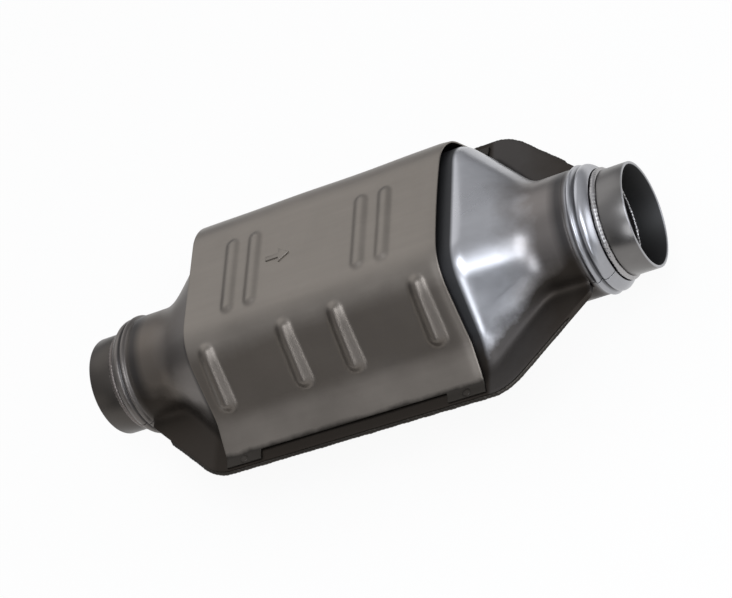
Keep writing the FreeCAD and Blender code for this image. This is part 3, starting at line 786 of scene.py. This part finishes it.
def weld_rule():
    """A bead of overlapping scales along a path, drawn out thin at open ends."""
    tree, start, end = rule_tree("weld_bead", (
        ("Bead radius", "Float", 0.001), ("Scale pitch", "Float", 0.0025),
        ("Scale lift", "Float", 0.16), ("Unevenness", "Float", 0.12), ("End taper", "Float", 0.003),
        ("Seed", "Int", 4), ("Metal", "Material", None)))
    path = node(tree, "GeometryNodeMeshToCurve")
    link(tree, (start, "Path"), path, "Mesh")
    run = (node(tree, "GeometryNodeSplineParameter"), "Length")
    whole = (node(tree, "GeometryNodeSplineLength"), "Length")
    turn = maths(tree, "MULTIPLY", maths(tree, "DIVIDE", run, (start, "Scale pitch")), math.pi)
    wave = maths(tree, "ABSOLUTE", maths(tree, "SINE", turn, 0.0), 0.0)
    patchy = node(tree, "ShaderNodeTexNoise", noise_dimensions="4D", Scale=190.0, Detail=1.0)
    link(tree, (start, "Seed"), patchy, "W")
    uneven = maths(tree, "SUBTRACT", (patchy, "Fac"), 0.5)
    uneven = maths(tree, "MULTIPLY", uneven, (start, "Unevenness"))
    scales = maths(tree, "MULTIPLY_ADD", wave, (start, "Scale lift"), uneven)
    to_end = maths(tree, "MINIMUM", run, maths(tree, "SUBTRACT", whole, run))
    thin = span(tree, to_end, 0.0, 1.0, 0.25, 1.0)
    link(tree, (start, "End taper"), thin[0], "From Max")
    full = maths(tree, "MULTIPLY", maths(tree, "ADD", scales, 1.0), thin)
    wide = maths(tree, "MULTIPLY", full, (start, "Bead radius"))
    section = node(tree, "GeometryNodeCurvePrimitiveCircle", mode="RADIUS", Resolution=12, Radius=1.0)
    swept = node(tree, "GeometryNodeCurveToMesh", Fill_Caps=True)
    link(tree, (path, "Curve"), swept, "Curve")
    link(tree, (section, "Curve"), swept, "Profile Curve")
    link(tree, wide, swept, "Scale")
    end_rule(tree, start, end, (swept, "Mesh"))
    return tree


def spot_rule():
    """A low round nugget at every point."""
    tree, start, end = rule_tree("spot_welds", (
        ("Spot radius", "Float", 0.0025), ("Spot height", "Float", 0.0005),
        ("Spread", "Float", 0.12), ("Seed", "Int", 9), ("Metal", "Material", None)))
    ball = node(tree, "GeometryNodeMeshUVSphere", Segments=20, Rings=10, Radius=1.0)
    size = node(tree, "ShaderNodeCombineXYZ")
    for axis, label in (("X", "Spot radius"), ("Y", "Spot radius"), ("Z", "Spot height")):
        link(tree, (start, label), size, axis)
    vary = node(tree, "FunctionNodeRandomValue", data_type="FLOAT")
    link(tree, maths(tree, "SUBTRACT", 1.0, (start, "Spread")), vary, 2)
    vary.inputs[3].default_value = 1.0
    link(tree, (start, "Seed"), vary, "Seed")
    scaled = node(tree, "ShaderNodeVectorMath", operation="SCALE")
    link(tree, (size, "Vector"), scaled, 0)
    link(tree, (vary, 1), scaled, "Scale")
    planted = node(tree, "GeometryNodeInstanceOnPoints")
    link(tree, (start, "Path"), planted, "Points")
    link(tree, (ball, "Mesh"), planted, "Instance")
    link(tree, (scaled, "Vector"), planted, "Scale")
    end_rule(tree, start, end, (planted, "Instances"))
    return tree


def lay_piece(name, points, shape, tree, values, nodes):
    """Runs a rule on points in millimetres that form a "line", a "ring" or loose "spots"."""
    mesh = bpy.data.meshes.new(name)
    count = len(points)
    links = {"line": count - 1, "ring": count, "spots": 0}[shape]
    mesh.from_pydata([tuple(float(c) * MM for c in point) for point in points],
                     [(i, (i + 1) % count) for i in range(links)], [])
    piece = bpy.data.objects.new(name, mesh)
    scene.collection.objects.link(piece)
    rule = piece.modifiers.new("rule", "NODES")
    rule.node_group = tree
    for item in tree.interface.items_tree:
        if item.in_out == "INPUT" and item.name in values:
            rule[item.identifier] = values[item.name]
    laid = bake_modifiers(piece, name)
    laid.materials.clear()
    laid.materials.append(values["Metal"])
    laid.polygons.foreach_set("material_index", [0] * len(laid.polygons))
    place_piece(piece, nodes)


def seam_path(side):
    """Points along the flange's edge; side -1 is the near one."""
    xs = np.arange(-SEAM_WELD_END, SEAM_WELD_END + 0.1, 0.5)
    return [(x, side * (edge + 0.1), AXIS) for x, edge in zip(xs, flange_edge(xs))]


def neck_path(end):
    """Points round a pipe where it leaves the neck; end is 1 or -1."""
    radius = PIPE_OUTSIDE - 0.1
    turn = [2 * math.pi * k / 360 for k in range(360)]
    return [(end * NECK_WELD_X, radius * math.cos(a), AXIS + radius * math.sin(a)) for a in turn]


# ------------------------------------------------------------------ the object

def build_shells():
    verts, faces = shell_mesh()
    for half in ("upper", "lower"):
        make_piece(half + "_shell_skin", verts, faces, FINISH["shell_steel"],
                   [half + "_shell"], sheet=SHELL_SHEET, bevel=0.25)
        verts, faces = other_half(verts, faces)


def build_shields():
    for half, ribbed in (("upper", True), ("lower", False)):
        verts, faces = shield_mesh(ribbed)
        faces = outward(verts, faces)
        if not ribbed:
            verts, faces = other_half(verts, faces)
        make_piece(half + "_shield_skin", verts, faces, FINISH["shield_steel"],
                   [half + "_heat_shield"], sheet=SHIELD_SHEET, bevel=0.2)
    verts, faces = arrow_mesh()
    make_piece("flow_arrow", verts, faces, FINISH["shield_steel"], bevel=0.3)


def build_pipes(weld):
    for name, end in (("outlet", 1), ("inlet", -1)):
        verts, faces = turned(PIPE_PROFILE, 144)
        if end < 0:
            verts, faces = other_end(verts, faces)
        make_piece(name + "_pipe_skin", verts, faces, FINISH["pipe_steel"],
                   [name + "_pipe"])
        lay_piece(name + "_neck_weld_skin", neck_path(end), "ring", weld,
                  {"Bead radius": 1.6 * MM, "Scale pitch": 2.1 * MM, "Scale lift": 0.14,
                   "Unevenness": 0.5, "End taper": 1e-5, "Seed": 5 + end,
                   "Metal": FINISH["neck_weld"]}, [name + "_neck_weld"])


def build_seam_welds(weld):
    for name, side in (("far", 1), ("near", -1)):
        lay_piece(name + "_seam_bead", seam_path(side), "line", weld,
                  {"Bead radius": 1.1 * MM, "Scale pitch": 2.5 * MM, "Scale lift": 0.16,
                   "Unevenness": 0.7, "End taper": 3.0 * MM, "Seed": 9 + side,
                   "Metal": FINISH["weld_metal"]}, [name + "_seam_weld"])


def build_spots():
    spots = spot_rule()
    for name, side in (("upper", 1), ("lower", -1)):
        points = [(x, y, AXIS + side * SPOT_LEVEL) for x in SPOTS_X for y in SPOTS_Y]
        lay_piece(name + "_spots", points, "spots", spots,
                  {"Spot radius": 2.5 * MM, "Spot height": 0.5 * MM, "Spread": 0.12,
                   "Seed": 9 + side, "Metal": FINISH["weld_metal"]},
                  [name + "_spot_welds"])


finish_cad_nodes()
build_shells()
build_shields()
weld = weld_rule()
build_pipes(weld)
build_seam_welds(weld)
build_spots()

add_camera()
add_room()
